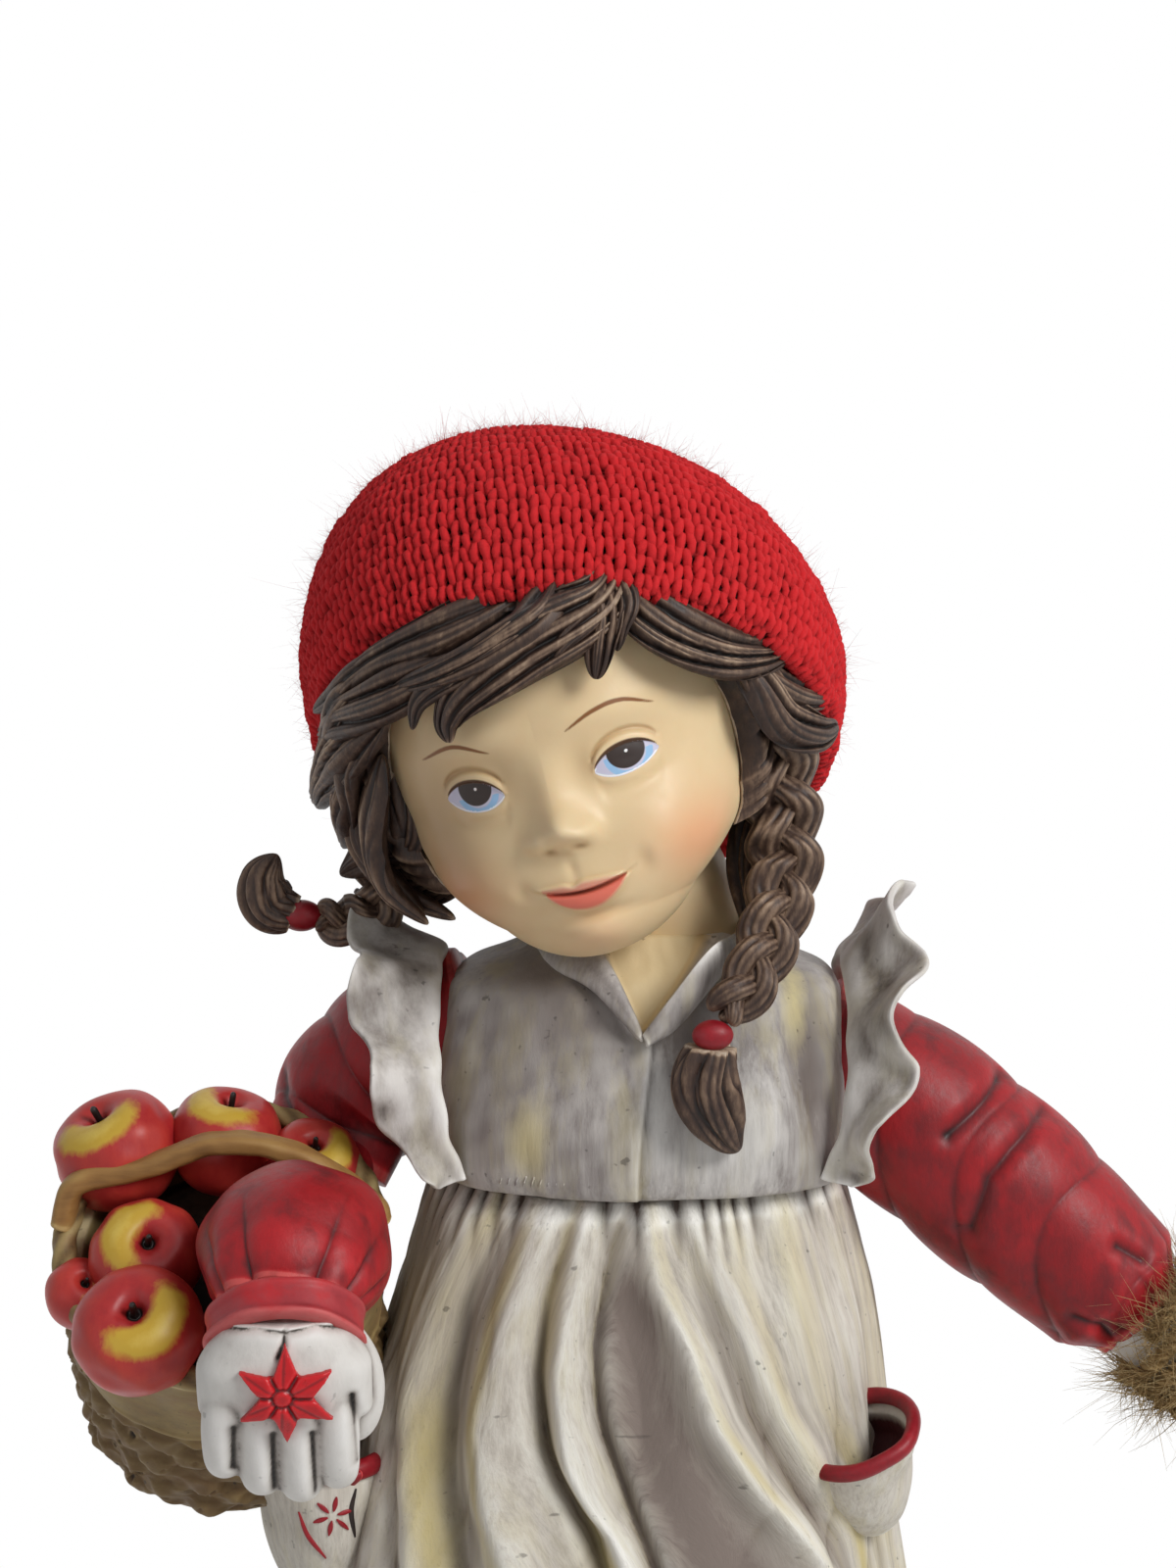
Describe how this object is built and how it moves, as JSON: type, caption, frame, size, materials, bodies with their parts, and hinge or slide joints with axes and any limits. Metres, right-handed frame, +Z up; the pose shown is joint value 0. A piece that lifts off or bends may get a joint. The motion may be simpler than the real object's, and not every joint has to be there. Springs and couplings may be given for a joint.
{
  "type": "girl figurine",
  "caption": "Standing cast figurine of a girl in a pinafore and knitted cap, a basket of apples on one arm and a jute binding on the other wrist.",
  "frame": {"origin": "centre of the felt pad's underside, where the figurine stands on the shelf", "axes": "+Z up along the figurine, which faces -Y; +X is her own left side, at the viewer's right"},
  "size_m": [0.1842, 0.1037, 0.3001],
  "materials": {
    "skin_paint": "ivory paint on cast resin, satin, peach blush on the cheeks",
    "hair_paint": "dark brown paint on cast resin, dry brushed with grey tan",
    "red_wool": "stocking stitch in bright red wool, hairy",
    "cream_paint": "off-white paint on cast resin, brushed with cream and antiqued grey in the folds",
    "red_paint": "red paint on cast resin, satin, blackened creases",
    "trim_paint": "dark red paint on cast resin, satin",
    "glove_paint": "off-white paint on cast resin, matt",
    "apple_paint": "red and yellow paint on cast resin, satin",
    "cane_paint": "tan and olive paint on cast resin, matt",
    "jute": "raw twisted jute twine, frayed",
    "stocking_paint": "grey-white paint on cast resin, matt",
    "boot_paint": "brown paint on cast resin, satin",
    "snow_paint": "white paint on cast resin, matt",
    "felt": "dark green felt",
    "steel": "plain wire"
  },
  "bodies": {
    "root": {"head": "skin_paint", "hair": "hair_paint", "lock_1": "hair_paint", "lock_2": "hair_paint", "lock_3": "hair_paint", "lock_4": "hair_paint", "lock_5": "hair_paint", "lock_6": "hair_paint", "lock_7": "hair_paint", "lock_8": "hair_paint", "basket_tub": "cane_paint", "basket_rim": "cane_paint", "apple_1": "apple_paint", "apple_2": "apple_paint", "apple_3": "apple_paint", "apple_4": "apple_paint", "apple_5": "apple_paint", "apple_6": "apple_paint", "apple_7": "apple_paint", "basket_handle": "cane_paint", "pinafore_bodice": "cream_paint", "waistband": "cream_paint", "right_upper_sleeve": "red_paint", "right_cuff_band": "trim_paint", "right_glove": "glove_paint", "right_forearm_sleeve": "red_paint", "right_glove_star": "trim_paint", "left_sleeve": "red_paint", "left_glove": "glove_paint", "left_glove_star": "trim_paint", "jute_binding": "jute", "right_collar": "cream_paint", "left_collar": "cream_paint", "right_shoulder_ruffle": "cream_paint", "left_shoulder_ruffle": "cream_paint", "right_bow": "cream_paint", "left_bow": "cream_paint", "bow_knot": "cream_paint", "knitted_cap": "red_wool", "left_braid_tie": "trim_paint", "left_braid": "hair_paint", "left_braid_brush": "hair_paint", "right_braid_tie": "trim_paint", "right_braid": "hair_paint", "right_braid_brush": "hair_paint", "felt_pad": "felt", "plinth": "snow_paint", "right_leg_pin": "steel", "right_stocking": "stocking_paint", "right_boot": "boot_paint", "left_leg_pin": "steel", "left_stocking": "stocking_paint", "left_boot": "boot_paint", "dress_hem": "cream_paint", "pinafore_skirt": "cream_paint", "right_pocket": "cream_paint", "right_pocket_binding": "trim_paint", "left_pocket": "cream_paint", "left_pocket_binding": "trim_paint"}
  },
  "joints": []
}
